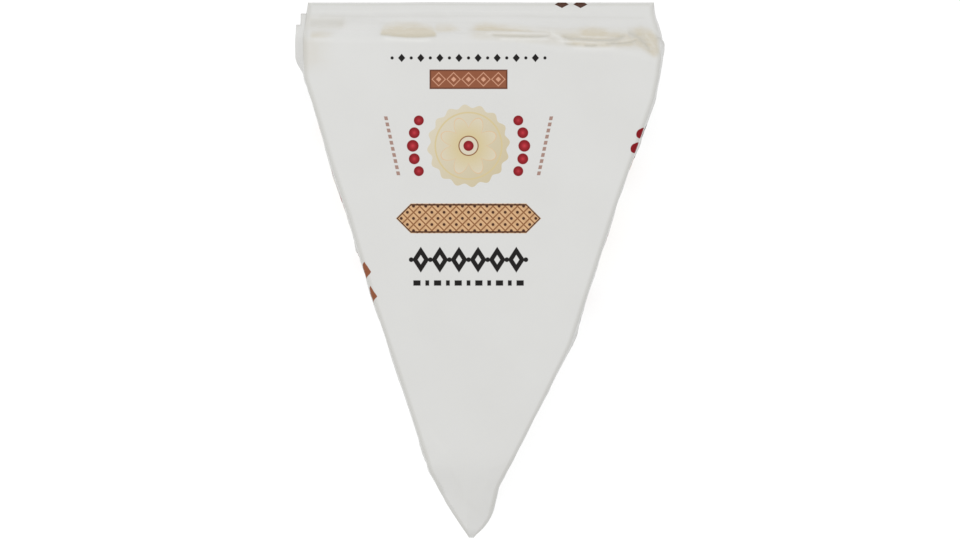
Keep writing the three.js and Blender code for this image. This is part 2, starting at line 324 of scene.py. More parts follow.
@dataclass(frozen=True)
class WrapForm:
    """The form of the wrapped wedge: its sides in plan, the heights of its top and its underside."""

    left: SideRun = SideRun(
        (-71.1, -68.6, -61.4, -53, -34, -21, -8, 5, 14, 27, 37, 50, 57, 67.4, 71.5),
        (-2.7, -4.5, -9.2, -13.3, -19.4, -23.8, -28.2, -32.1, -34.7, -39.1, -42, -46.1, -46.3, -46.4, -46.3),
    )
    right: SideRun = SideRun(
        (-71.1, -68.4, -65.2, -57.4, -46.6, -34, -20, 18, 44, 50, 55, 59, 62, 64, 68, 71.5),
        (-2, 1, 3.1, 4.9, 10.6, 17, 23.9, 36.3, 45.6, 46.9, 47.5, 47.7, 47.7, 47.4, 46.7, 46.8),
        swell=0.6,
    )
    sizes: tuple[float, float, float] = field(default_factory=cad_sizes)
    tip_round: float = 0.4
    crown: float = 0.5
    lap: float = 0.26
    nose_y: float = -52.0
    nose_drop: float = 4.4
    nose_slope: float = 0.3
    nose_ridge_x: float = -3.4
    nose_end: float = 2.6
    nose_softness: float = 1.0
    chin_length: float = 3.6
    chin_height: float = 15.0
    chin_curve: float = 1.5
    shoulder_y: float = 60.8
    shoulder_steps: tuple[tuple[float, float, float], ...] = ((8, 24, 2.4), (36, 48, 2.6))
    shoulder_softness: float = 5.0
    fold_edge: float = 2.6
    skirt_hollow: float = 0.4
    tuck_length: float = 1.6
    tuck_curve: float = 1.8
    pleats: tuple[Pleat, ...] = (
        Pleat((-27, -18, -8), (62.6, 62.7, 62.4), 0.5, 1.5),
        Pleat((-26.4, -22.4, -16.9, -11.2), (61.3, 60.8, 60.5, 60.8), 0.35, 0.4, tone=0.45, fade=0.7),
        Pleat((-26.2, -17, -12), (60.2, 59.5, 59.7), -0.15, 0.5, tone=-0.55, fade=2),
        Pleat((-46.4, -42, -35.3), (65.3, 65.2, 65.0), 0.35, 1.9, tone=0.42, fade=1.6),
        Pleat((-46, -36), (66.8, 66.6), -0.15, 0.5, tone=-0.25),
        Pleat((-45, -37), (61.4, 61.6), 0.2, 0.7, tone=0.1),
        Pleat((-44.5, -38), (59.8, 60.0), -0.12, 0.7, tone=-0.2),
        Pleat((-4, 9, 19), (62.6, 62.5, 62.3), 0.25, 0.4, tone=0.22),
        Pleat((1, 8, 18.8), (61.7, 61.6, 61.9), -0.2, 0.35, tone=-0.5),
        Pleat((2.5, 5.1, 7.7, 15.8, 18.9), (61.2, 61.0, 60.8, 60.7, 61.4), 0.55, 0.4, tone=0.75),
        Pleat((4.5, 9, 18.7), (60.0, 59.9, 60.0), -0.25, 0.4, tone=-0.65),
        Pleat((18.4, 20.2, 22.2), (62.3, 61.4, 59.7), -0.35, 0.8, tone=-0.6, fade=0.5),
        Pleat((20.6, 28, 36, 43), (61.9, 61.4, 60.6, 61.0), 0.3, 1.7),
        Pleat((21, 22.9, 26.6, 33.4, 36.1, 38.9), (61.6, 60.8, 60.3, 59.8, 60.1, 61.6), 0.6, 0.6, tone=0.78),
        Pleat((25.5, 30, 34.5), (61.2, 60.9, 60.7), -0.2, 0.3, tone=-0.45),
        Pleat((19.5, 24, 30, 35), (59.5, 59.4, 59.1, 59.1), -0.3, 0.35, tone=-0.6),
        Pleat((21.8, 23.4, 25.6), (58.8, 58.7, 58.6), 0.4, 0.3, tone=0.45, fade=0.8),
        Pleat((27, 29, 31.2), (58.3, 58.2, 58.4), 0.45, 0.35, tone=0.6, fade=0.8),
        Pleat((32.5, 36.5, 39.9, 41.6), (58.8, 58.8, 59.3, 60.4), 0.5, 0.35, tone=0.7, fade=1),
        Pleat((36, 40, 42.6), (59.4, 60.0, 61.0), -0.25, 0.35, tone=-0.4),
        Pleat((23, 29, 37), (57.7, 57.3, 57.6), -0.2, 0.55, tone=-0.4, fade=3),
        Pleat((38.9, 41.2, 43.3, 44.9), (62.4, 61.5, 59.4, 56.6), 0.5, 0.95, tone=0.65, fade=0.7),
        Pleat((43.4, 44.8, 46.2), (62.6, 60.4, 57.4), -0.3, 0.7, tone=-0.35, fade=0.6),
        Pleat((-46.5, 0, 47), (70.9, 70.8, 70.9), 0.1, 0.3, tone=0.4),
        Pleat((-46, -10, 30), (68.6, 68.8, 68.5), -0.1, 0.4, tone=-0.2),
        Pleat((-44, 5, 45), (67.1, 67.3, 66.9), 0.1, 0.45, tone=0.15),
        Pleat((-28, 22), (65.9, 66.0), 0.07, 0.5, tone=-0.1),
    )
    stains: tuple[Stain, ...] = (
        Stain(
            (-26.3, -25.2, -22.4, -16.9, -12.8, -11.0),
            (61.2, 61.0, 60.7, 60.4, 60.6, 60.7),
            (63.4, 64.8, 65.7, 65.6, 64.4, 62.5),
            1.0,
            fade=1.2,
            far_edge=3.0,
        ),
        Stain((-12.0, -8, -3.8), (62.1, 62.2, 62.4), (64.8, 65, 63.6), 0.5, near_edge=0.8),
        Stain(
            (-4, 8, 22, 34, 47), (60.3, 59.6, 58.4, 57.8, 57), (64.6, 64.4, 63.8, 64, 63),
            0.32, start=4, near_edge=1,
        ),
        Stain(
            (-3, 1.5, 4.5, 12, 19), (62.4, 62.4, 62.3, 62.1, 62), (64.4, 65.4, 65, 64.2, 63),
            0.75, start=3, fade=8,
        ),
        Stain((2, 8, 19.5), (60.4, 60.3, 60.4), (62.6, 62.6, 62.4), 0.5, start=2, near_edge=0.5),
        Stain((20.8, 24, 26.6), (60.6, 60.2, 59.6), (62.4, 63.0, 63.6), 0.6, start=1, fade=1, near_edge=0.6),
        Stain((24, 30, 36.5), (61.0, 60.8, 60.6), (63.6, 64.3, 63.2), 0.85, start=4, fade=4),
        Stain(
            (21.5, 30, 36, 43), (58.3, 57.9, 57.9, 58.3), (62.2, 63.2, 63, 62.4),
            0.72, start=3, near_edge=0.7,
        ),
        Stain(
            (37, 43, 45.6, 47.6), (61, 57, 55.4, 56), (63.6, 64.6, 63.6, 61),
            0.75, start=5, fade=1.2, near_edge=1,
        ),
        Stain((-44.6, -41, -37), (60.4, 60.4, 61), (62.7, 62.9, 62.2), 0.6, fade=3, near_edge=0.8),
        Stain(
            (-46.8, -41, -34.2), (63.0, 63.0, 63.4), (67.6, 68, 66.4),
            0.22, start=0.3, fade=3, near_edge=0.8,
        ),
        Stain(
            (-46.8, -43, -36), (52, 52.6, 54), (61, 61.4, 60.6),
            0.2, start=0.3, fade=7, near_edge=3, far_edge=3,
        ),
    )

    @property
    def tip_y(self) -> float:
        """The y of the blunt tip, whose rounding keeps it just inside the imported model."""
        return self.sizes[0] + self.tip_round

    @property
    def end_y(self) -> float:
        """The y of the folded edge at the rind end."""
        return self.sizes[1]

    @property
    def top_z(self) -> float:
        """The height of the face's crown."""
        return self.sizes[2]

    @property
    def base_z(self) -> float:
        """The height of the body's own underside, above two laps of paper."""
        return 2 * self.lap

    def shoulder(self, x: Array) -> Array:
        """Gives the y where the face ends and the skirt starts."""
        y = np.full_like(x, self.shoulder_y)
        for start, stop, back in self.shoulder_steps:
            y = y - back * smooth_step(x, start, stop)
        return y

    def face(self, x: Array, y: Array) -> Array:
        """Gives the height of the nearly flat printed face."""
        left, right = self.left.x(y), self.right.x(y)
        across = 2 * (x - left) / (right - left) - 1
        return self.top_z - self.crown * np.abs(across) ** 4

    def nose(self, x: Array, y: Array) -> Array:
        """Gives the height of the low roof over the tip."""
        along = (self.nose_y - y) / (self.nose_y - self.tip_y)
        fall = self.nose_slope * np.abs(x - self.nose_ridge_x) * np.clip(along, 0, 1)
        ending = np.clip((self.tip_y + self.nose_end - y) / self.nose_end, 0, 1)
        rounding = self.nose_end * (1 - np.sqrt(1 - ending * ending))
        return self.top_z - self.nose_drop * along - fall - rounding

    def skirt(self, x: Array, y: Array) -> Array:
        """Gives the height of the paper between the shoulder and the folded edge."""
        left = (self.end_y - y) / (self.end_y - self.shoulder(x))
        hollow = np.where(left < 1, self.skirt_hollow * left * (1 - left), 0)
        return self.fold_edge + (self.top_z - self.fold_edge) * (left - hollow)

    def top(self, x: Array, y: Array) -> Array:
        """Gives the height of the wrap's top surface, pleats included."""
        over = soft_min(self.face(x, y), self.skirt(x, y), self.shoulder_softness)
        height = soft_min(over, self.nose(x, y), self.nose_softness)
        for pleat in self.pleats:
            height = height - pleat.deep * pleat.profile(x, y)
        return np.maximum(height, self.fold_edge)

    def stain(self, x: Array, y: Array) -> Array:
        """Gives how damp and cream-coloured the paper is at points in plan, from 0 to 1."""
        return np.max([stain.share(x, y) for stain in self.stains], axis=0)

    def crease(self, x: Array, y: Array) -> Array:
        """Gives the folds' painted light at points in plan: above 0 for painted shade and below 0 for a
        painted highlight.
        """
        return np.clip(sum(pleat.tone * pleat.profile(x, y) for pleat in self.pleats), -1, 1)

    def foot(self, y: Array) -> Array:
        """Gives the height of the underside, which is drawn up at the nose and the folded edge."""
        chin = np.clip((self.tip_y + self.chin_length - y) / self.chin_length, 0, 1)
        tuck = np.clip((y - self.end_y + self.tuck_length) / self.tuck_length, 0, 1)
        tuck_height = self.fold_edge - self.lap - self.base_z
        return self.base_z + self.chin_height * chin**self.chin_curve + tuck_height * tuck**self.tuck_curve


def mesh_piece(name: str, points: Array, quads: Array, uvs: dict[str, Array]) -> bpy.types.Object:
    """Makes a smooth-shaded mesh object out of arrays.

    Args:
        name: The piece's name.
        points: The vertices as rows of x, y and z, in millimetres.
        quads: Four vertex numbers for each face, anticlockwise seen from outside.
        uvs: For each UV map's name, one u and v for each corner of each face.

    Returns:
        The new object, linked to the scene.
    """
    mesh = bpy.data.meshes.new(name)
    mesh.from_pydata((points * MM).tolist(), [], quads.tolist())
    for uv_name, corners in uvs.items():
        layer = mesh.uv_layers.new(name=uv_name)
        layer.data.foreach_set("uv", corners.astype(np.float32).ravel())
    mesh.shade_smooth()
    made = bpy.data.objects.new(name, mesh)
    bpy.context.scene.collection.objects.link(made)
    return made


def set_point_values(piece: bpy.types.Object, name: str, values: Array) -> None:
    """Stores one number for each vertex of a piece under an attribute's name."""
    attribute = piece.data.attributes.new(name, "FLOAT", "POINT")
    attribute.data.foreach_set("value", values.astype(np.float32).ravel())


@dataclass(frozen=True)
class PrintRepeat:
    """One more repeat of the printed design, on a side of the pack: its middle and its heading."""

    along: float
    down: float
    heading: float

    def place(self, sheet: Array, side: SideRun, sign: int) -> Array:
        """Turns the sheet's coordinates into those of the design.

        Args:
            sheet: The sheet's u and v.
            side: The side that the repeat lies on.
            sign: 1 on the right and -1 on the left.

        Returns:
            The design's u and v.
        """
        middle = np.array((float(side.x(np.array(self.along))), self.along))
        middle = middle + self.down * side.outward(sign)
        angle = math.radians(self.heading - 90)
        spin = np.array(((math.cos(angle), -math.sin(angle)), (math.sin(angle), math.cos(angle))))
        return (sheet - middle) @ spin + np.array(DESIGN_MIDDLE)


class Panel(Enum):
    """Which panel of the folded sheet a stretch of the skin belongs to."""

    BASE = 0
    RIGHT = 1
    FACE = 2
    LEFT = 3


@dataclass
class WrapSkin:
    """The sheet drawn over the cheese, as one closed skin with every crease pressed into it."""

    form: WrapForm
    top_fillet: float = 1.1
    base_fillet: float = 1.1
    fillet_share: float = 0.45
    full_bulge_width: float = 20.0
    full_bulge_height: float = 14.0
    face_columns: int = 216
    side_rows: int = 32
    base_columns: int = 24
    fillet_steps: int = 5
    nose_step: float = 0.5
    plain_step: float = 1.0
    shoulder_step: float = 0.4
    skirt_step: float = 0.19
    shoulder_start: float = 11.0
    skirt_start: float = 4.4
    crumples: tuple[Crumple, ...] = (
        Crumple(Zone.SHOULDER, 12, (4, 9), (60, 120), (0.02, 0.07), (0.4, 0.8)),
        Crumple(Zone.SHOULDER, 16, (10, 26), (-6, 6), (0.03, 0.1), (0.4, 0.9)),
        Crumple(Zone.SKIRT, 14, (20, 60), (-4, 4), (0.05, 0.14), (0.6, 1.6)),
        Crumple(Zone.SKIRT, 16, (6, 18), (50, 130), (0.04, 0.14), (0.6, 1.6)),
        Crumple(Zone.FACE, 7, (20, 60), (0, 180), (0.004, 0.012), (1.5, 3.5)),
        Crumple(Zone.NOSE, 26, (4, 14), (20, 160), (0.04, 0.14), (0.5, 1.2)),
        Crumple(Zone.LEFT_WALL, 110, (8, 26), (90, 240), (0.12, 0.42), (0.7, 1.8)),
        Crumple(Zone.RIGHT_WALL, 110, (8, 26), (-60, 90), (0.12, 0.42), (0.7, 1.8)),
    )
    folds: tuple[WallFold, ...] = (
        WallFold(1, (58, 13), (45, 31), 0.3, 1.2),
        WallFold(1, (62, 5), (53, 30), -0.6, 1.0),
        WallFold(1, (48, 6), (22, 27), -0.45, 1.4),
        WallFold(1, (-44, 4), (-60, 20), 0.5, 1.2),
        WallFold(1, (-40, 30), (-58, 8), -0.5, 1.0),
        WallFold(1, (-20, 8), (8, 29), 0.2, 1.6),
        WallFold(-1, (48, 4), (36, 30), 0.5, 1.2),
        WallFold(-1, (40, 29), (12, 8), -0.45, 1.4),
        WallFold(-1, (-46, 4), (-60, 22), 0.5, 1.2),
        WallFold(-1, (-38, 29), (-56, 7), -0.5, 1.0),
        WallFold(-1, (-18, 27), (8, 6), 0.35, 1.6),
    )
    side_reach: Pair = (1.2, 4.5)
    foot_reach: Pair = (0.5, 6.0)
    # Painted shade in the relief's valleys and a painted highlight on its ridges, for each millimetre of
    # lift.
    relief_shade: float = 0.9
    side_give: Pair = (0.15, 0.85)
    skirt_give: Pair = (0.3, 0.5)
    hem: float = 3.0
    # Painted shade along the fillets at the face's left and right edges.
    fillet_shade: Pair = (0.38, 0.36)
    right_repeat: PrintRepeat = PrintRepeat(along=14.0, down=27.0, heading=251.0)
    left_repeat: PrintRepeat = PrintRepeat(along=24.0, down=25.0, heading=288.0)

    def stations(self) -> Array:
        """Gives the y of every section, closest together where the paper turns down."""
        form = self.form
        stretches = (
            (form.tip_y, form.nose_y + 4, self.nose_step),
            (form.nose_y + 4, form.shoulder_y - self.shoulder_start, self.plain_step),
            (form.shoulder_y - self.shoulder_start, form.shoulder_y - self.skirt_start, self.shoulder_step),
            (form.shoulder_y - self.skirt_start, form.end_y, self.skirt_step),
        )
        parts = [np.linspace(a, b, math.ceil((b - a) / step), endpoint=False) for a, b, step in stretches]
        return np.concatenate([*parts, [form.end_y]])

    def _turn(self, x: Array, z: Array, radius: Array, quarter: int) -> Array:
        """Gives a quarter turn at every station, as x and z, from a number of quarters past +X."""
        angle = (math.pi / 2) * (quarter + np.linspace(0, 1, self.fillet_steps + 1))[None, :]
        radius = radius[:, None]
        return np.stack((x[:, None] + radius * np.cos(angle), z[:, None] + radius * np.sin(angle)), -1)

    def _side(self, x: Array, bulge: Array, start: Array, stop: Array) -> Array:
        """Gives the rows of one side between its two fillets, pressed out at mid height."""
        up = (np.arange(1, self.side_rows) / self.side_rows)[None, :]
        out = x[:, None] + bulge[:, None] * np.sin(math.pi * up)
        return np.stack((out, start[:, None] + (stop - start)[:, None] * up), -1)

    def sections(self) -> tuple[Array, list[tuple[Panel, int]]]:
        """Lays out every section of the skin.

        Returns:
            Points by station and place round the section, and each panel with its number of points.
        """
        form, y = self.form, self.stations()
        left, right, foot = form.left.x(y), form.right.x(y), form.foot(y)
        width = right - left
        height = form.top((left + right) / 2, y) - foot
        fullness = np.minimum(np.minimum(width / self.full_bulge_width, height / self.full_bulge_height), 1)

        def radius(wanted: float, x: Array) -> Array:
            """Gives a fillet's radius where it still fits in a low or narrow section."""
            room = np.minimum(form.top(x, y) - foot, width / 2)
            return np.minimum(wanted, self.fillet_share * room)

        def span(start: Array, stop: Array, columns: int) -> Array:
            """Gives the x of the columns between two fillets."""
            across = (np.arange(1, columns) / columns)[None, :]
            return start[:, None] + (stop - start)[:, None] * across

        foot_left, foot_right = radius(self.base_fillet, left), radius(self.base_fillet, right)
        top_left, top_right = radius(self.top_fillet, left), radius(self.top_fillet, right)
        left_z = form.top(left + top_left, y) - top_left
        right_z = form.top(right - top_right, y) - top_right
        base_x = span(left + foot_left, right - foot_right, self.base_columns)
        face_x = span(right - top_right, left + top_left, self.face_columns)
        rows = y[:, None]
        runs = [
            (Panel.BASE, np.stack((base_x, np.broadcast_to(foot[:, None], base_x.shape)), -1)),
            (Panel.RIGHT, self._turn(right - foot_right, foot + foot_right, foot_right, -1)),
            (Panel.RIGHT, self._side(right, fullness * form.right.press(y), foot + foot_right, right_z)),
            (Panel.RIGHT, self._turn(right - top_right, right_z, top_right, 0)),
            (Panel.FACE, np.stack((face_x, form.top(face_x, np.broadcast_to(rows, face_x.shape))), -1)),
            (Panel.LEFT, self._turn(left + top_left, left_z, top_left, 1)),
            (Panel.LEFT, self._side(left, -fullness * form.left.press(y), left_z, foot + foot_left)),
            (Panel.LEFT, self._turn(left + foot_left, foot + foot_left, foot_left, 2)),
        ]
        ring = np.concatenate([points for _, points in runs], axis=1)
        along = np.broadcast_to(rows, ring.shape[:2])
        grid = np.stack((ring[..., 0], along, ring[..., 1]), -1)
        return grid, [(panel, points.shape[1]) for panel, points in runs]

    def _face_chart(self, grid: Array) -> Array:
        """Unrolls the face and the skirt: u is x, and v runs on down the skirt from the shoulder."""
        step = np.diff(grid, axis=0)
        ahead = np.hypot(step[..., 1], step[..., 2])
        plain = grid[1:, :, 1] < self.form.shoulder_y - self.shoulder_start
        v = np.cumsum(np.where(plain, step[..., 1], ahead), axis=0) + self.form.tip_y
        v = np.concatenate((np.full((1, grid.shape[1]), self.form.tip_y), v))
        return np.stack((grid[..., 0], v), -1)

    def _wall_chart(self, grid: Array, edge: int, order: Array, side: SideRun, sign: int) -> Array:
        """Unrolls one side: each point lies as far out of the face's edge as the paper has run.

        Args:
            grid: The skin's points by station and place.
            edge: The place where the face ends on this side.
            order: The places in turn from that edge, down the side and on along the underside.
            side: The side's run in plan.
            sign: 1 on the right and -1 on the left.

        Returns:
            The sheet's u and v at every point of the grid, set only at the places in `order`.
        """
        chart = np.zeros((*grid.shape[:2], 2))
        strip = grid[:, order]
        step = np.diff(strip, axis=1, prepend=grid[:, edge][:, None])
        run = np.cumsum(np.hypot(step[..., 0], step[..., 2]), axis=1)
        run = run + (self.form.top_z - self.form.crown - grid[:, edge, 2])[:, None]
        outward = side.outward(sign)
        chart[:, order, 0] = grid[:, edge, 0][:, None] + run * outward[0]
        chart[:, order, 1] = grid[:, edge, 1][:, None] + run * outward[1]
        return chart

    def charts(self, grid: Array, panels: list[tuple[Panel, int]]) -> tuple[Array, Array, Array]:
        """Works out the flat sheet's coordinates.

        Args:
            grid: The skin's points by station and place.
            panels: Each panel with its number of points, in order round the section.

        Returns:
            The face's chart, the sides' chart, and for each strip between two places the panel it is in.
        """
        counts = [count for _, count in panels]
        starts = np.cumsum([0, *counts])
        size = int(starts[-1])
        right_edge, left_edge = int(starts[4]) - 1, int(starts[5])
        middle = counts[0] // 2
        right_order = np.arange(right_edge, -1, -1)[: right_edge + 1 - middle]
        left_order = np.concatenate((np.arange(left_edge, size), np.arange(0, middle)))
        face = self._face_chart(grid)
        walls = self._wall_chart(grid, right_edge, right_order, self.form.right, 1)
        left = self._wall_chart(grid, left_edge, left_order, self.form.left, -1)
        walls[:, left_order] = left[:, left_order]
        strip = np.full(size, Panel.RIGHT.value)
        strip[right_edge:left_edge] = Panel.FACE.value
        strip[left_edge:] = Panel.LEFT.value
        strip[:middle] = Panel.LEFT.value
        return face, walls, strip

    def _seen_from_above(self, panels: list[tuple[Panel, int]]) -> Array:
        """Gives which places are on the face or on the fillet at either side of it."""
        starts = np.cumsum([0, *(count for _, count in panels)])
        place = np.arange(starts[-1])
        return (place >= starts[3]) & (place < starts[6])

    def normals(self, grid: Array) -> Array:
        """Gives the unit normal at every point of the closed rings."""
        round_it = np.roll(grid, -1, axis=1) - np.roll(grid, 1, axis=1)
        along = np.gradient(grid, axis=0)
        normal = np.cross(round_it, along)
        length = np.linalg.norm(normal, axis=-1, keepdims=True)
        return normal / np.maximum(length, 1e-9)

    def relief(self, chart: Array, z: Array, on_face: Array) -> Array:
        """Adds up every crease, with those of the sides faded out towards the face and the foot.

        Args:
            chart: The sheet's u and v at each point.
            z: The height of each point.
            on_face: Which places are on the face.

        Returns:
            How far the creases lift each point, in millimetres.
        """
        random = np.random.default_rng(SEED)
        sides = {1: self.form.right, -1: self.form.left}
        u, v = chart[..., 0], chart[..., 1]
        lifts = {True: np.zeros_like(u), False: np.zeros_like(u)}
        for crumple in self.crumples:
            for line in crumple.creases(random):
                lifts[crumple.zone.on_side] += line.relief(u, v)
        for fold in self.folds:
            lifts[True] += fold.crease(sides[fold.sign]).relief(u, v)
        reach = smooth_step(self.form.top_z - z, *self.side_reach) * smooth_step(z, *self.foot_reach)
        return lifts[False] + lifts[True] * np.where(on_face[None, :], 0, reach)

    def give(self, grid: Array, on_face: Array) -> Array:
        """Gives how freely the paper buckles: least on the face, most halfway down the sides."""
        form = self.form
        up = np.clip(grid[..., 2] / form.top_z, 0, 1)
        side = self.side_give[0] + self.side_give[1] * np.sin(math.pi * up)
        down = smooth_step(grid[..., 1], form.shoulder_y, form.end_y - self.hem)
        skirt = self.skirt_give[0] + self.skirt_give[1] * down
        return np.where(on_face[None, :], skirt, side)

    def tones(
        self, grid: Array, relief: Array, panels: list[tuple[Panel, int]], on_face: Array
    ) -> Array:
        """Gives the painted light of every fold: painted shade in a valley, a painted highlight on a ridge,
        and painted shade along the face's folded edges.

        Args:
            grid: The skin's points by station and place.
            relief: How far the creases lift each of them, in millimetres.
            panels: Each panel with its number of points, in order round the section.
            on_face: Which places are on the face.

        Returns:
            The painted shade at every point of the grid, below 0 for a painted highlight.
        """
        tone = self.form.crease(grid[..., 0], grid[..., 1]) * on_face[None, :]
        starts = np.cumsum([0, *(count for _, count in panels)])
        line = np.sin(math.pi * np.linspace(0.15, 1, self.fillet_steps + 1))
        tone[:, starts[3] : starts[4]] = self.fillet_shade[1] * line[::-1]
        tone[:, starts[5] : starts[6]] = self.fillet_shade[0] * line
        return tone - self.relief_shade * relief

    def build(self) -> bpy.types.Object:
        """Builds the skin.

        Returns:
            The piece, with its two UV maps and the attributes that its finish reads.
        """
        grid, panels = self.sections()
        face, walls, strip = self.charts(grid, panels)
        stations, size = grid.shape[:2]
        on_face = np.zeros(size, bool)
        on_face[np.flatnonzero(strip == Panel.FACE.value)] = True
        chart = np.where(on_face[None, :, None], face, walls)
        relief = self.relief(chart, grid[..., 2], on_face)
        lifted = grid + self.normals(grid) * relief[..., None]
        lifted[..., 2] = np.maximum(lifted[..., 2], self.form.lap)

        station, place = np.meshgrid(np.arange(stations - 1), np.arange(size), indexing="ij")
        after = (place + 1) % size
        here, ahead = station * size, (station + 1) * size
        corners = np.stack((here + place, ahead + place, ahead + after, here + after), -1).reshape(-1, 4)
        flat_face, flat_walls = face.reshape(-1, 2), walls.reshape(-1, 2)
        is_face = (strip[place.ravel()] == Panel.FACE.value)[:, None, None]
        sheet = np.where(is_face, flat_face[corners], flat_walls[corners])
        panel = strip[place.ravel()]
        printed = sheet.copy()
        for which, repeat, side, sign in (
            (Panel.RIGHT, self.right_repeat, self.form.right, 1),
            (Panel.LEFT, self.left_repeat, self.form.left, -1),
        ):
            chosen = panel == which.value
            printed[chosen] = repeat.place(sheet[chosen], side, sign)

        caps = [np.arange(size)[::-1], np.arange(size) + (stations - 1) * size]
        piece = mesh_piece("wrap_skin", lifted.reshape(-1, 3), corners, {SHEET_UV: sheet, PRINT_UV: printed})
        self._close(piece, caps)
        x, y = grid[..., 0], grid[..., 1]
        set_point_values(piece, STAIN, self.form.stain(x, y) * self._seen_from_above(panels)[None, :])
        # Painted shade and highlights of the folds and of the face's edges.
        set_point_values(piece, SHADE_AND_HIGHLIGHT, self.tones(grid, relief, panels, on_face))
        set_point_values(piece, GIVE, self.give(grid, on_face))
        return piece

    def _close(self, piece: bpy.types.Object, caps: list[Array]) -> None:
        """Closes both ends of the skin with a flat face each, on a blank stretch of the print."""
        shell = bmesh.new()
        shell.from_mesh(piece.data)
        shell.verts.ensure_lookup_table()
        for cap in caps:
            face = shell.faces.new([shell.verts[int(i)] for i in cap])
            face.smooth = False
            for loop in face.loops:
                for layer in shell.loops.layers.uv.values():
                    loop[layer].uv = (BLANK + loop.vert.co.x / MM, loop.vert.co.z / MM)
        bmesh.ops.recalc_face_normals(shell, faces=shell.faces)
        shell.to_mesh(piece.data)
        shell.free()


def sheet_piece(name: str, grid: Array, give: Array, tone: Array) -> bpy.types.Object:
    """Makes an open sheet of paper out of a grid of points, with a blank stretch of the print.

    Args:
        name: The piece's name.
        grid: Points by row and column, in millimetres, with the outer side on the right of each row.
        give: How freely the paper buckles at each point.
        tone: How much painted shade the paper has at each point.

    Returns:
        The new object.
    """
    rows, columns = grid.shape[:2]
    row, column = np.meshgrid(np.arange(rows - 1), np.arange(columns - 1), indexing="ij")
    first = (row * columns + column).ravel()
    quads = np.stack((first, first + columns, first + columns + 1, first + 1), -1)
    along = np.linalg.norm(np.diff(grid, axis=0, prepend=grid[:1]), axis=-1).cumsum(axis=0)
    across = np.linalg.norm(np.diff(grid, axis=1, prepend=grid[:, :1]), axis=-1).cumsum(axis=1)
    chart = np.stack((across + BLANK, along), -1).reshape(-1, 2)[quads]
    piece = mesh_piece(name, grid.reshape(-1, 3), quads, {SHEET_UV: chart, PRINT_UV: chart})
    set_point_values(piece, STAIN, np.zeros(grid.shape[:2]))
    set_point_values(piece, SHADE_AND_HIGHLIGHT, tone)
    set_point_values(piece, GIVE, give)
    return piece


@dataclass(frozen=True)
class CornerLap:
    """One layer of the left side's paper, folded round the corner at the rind end."""

    name: str
    start: float
    free: float
    top_stand: float
    stand: float
    drop: float
    foot: float
    taper: float = 6.5


@dataclass
class CornerLaps:
    """The layers that stand off the left side, each from a tapered start to its free edge."""

    form: WrapForm
    laps: tuple[CornerLap, ...] = (
        CornerLap("corner_lap_inner", 49.8, 68.2, 0.1, 1.15, 1.1, 1.2),
        CornerLap("corner_lap_outer", 49.4, 64.9, 0.28, 2.2, 2.5, 1.6),
    )
    root: float = 0.3
    curl: float = 0.15
    curl_reach: float = 2.5
    shoulder_share: float = 0.3
    foot_start: float = 0.7
    foot_share: float = 0.12
    free_wave: float = 0.1
    free_turns: float = 6.0
    edge_in: float = 1.1
    give: float = 0.15
    # Painted shade on each layer: faint all over, and darker along its top and free edges.
    sheet_shade: float = 0.06
    top_edge_shade: float = 0.5
    edge_width: float = 0.03
    free_edge_shade: float = 0.4
    free_width: float = 0.4
    stations: int = 60
    rows: int = 56

    def build(self, lap: CornerLap) -> bpy.types.Object:
        """Builds one layer.

        Args:
            lap: The layer's own sizes.

        Returns:
            The sheet, which still has no thickness.
        """
        form = self.form
        y = np.linspace(lap.start, lap.free, self.stations)[:, None]
        down = np.linspace(0, 1, self.rows)[None, :]
        wall = form.left.x(y)
        rise = smooth_step(y, lap.start, lap.start + lap.taper)
        at_free = smooth_step(y, lap.free - self.curl_reach, lap.free)
        belly = lap.top_stand + (lap.stand - lap.top_stand) * smooth_step(down, 0, self.shoulder_share)
        belly = belly * (1 - (1 - self.foot_share) * smooth_step(down, self.foot_start, 1.0))
        belly = belly + self.curl * at_free * np.sin(math.pi * down)
        stand = -self.root + (belly + self.root) * rise
        x = wall - form.left.press(y) * np.sin(math.pi * down) - stand
        top = form.top(wall + self.edge_in, y) - lap.drop
        z = top - (top - lap.foot) * down
        slant = y + self.free_wave * np.sin(down * self.free_turns + lap.start) * at_free
        grid = np.stack(np.broadcast_arrays(x, slant, z), -1)
        # Painted shade along the top edge and the free edge, where the layers meet in narrow gaps.
        along_top = self.top_edge_shade * np.exp(-down / self.edge_width)
        along_free = self.free_edge_shade * np.exp((y - lap.free) / self.free_width)
        tone = rise * (self.sheet_shade + along_top + along_free)
        return sheet_piece(lap.name, grid, np.broadcast_to(self.give * rise, grid.shape[:2]), tone)


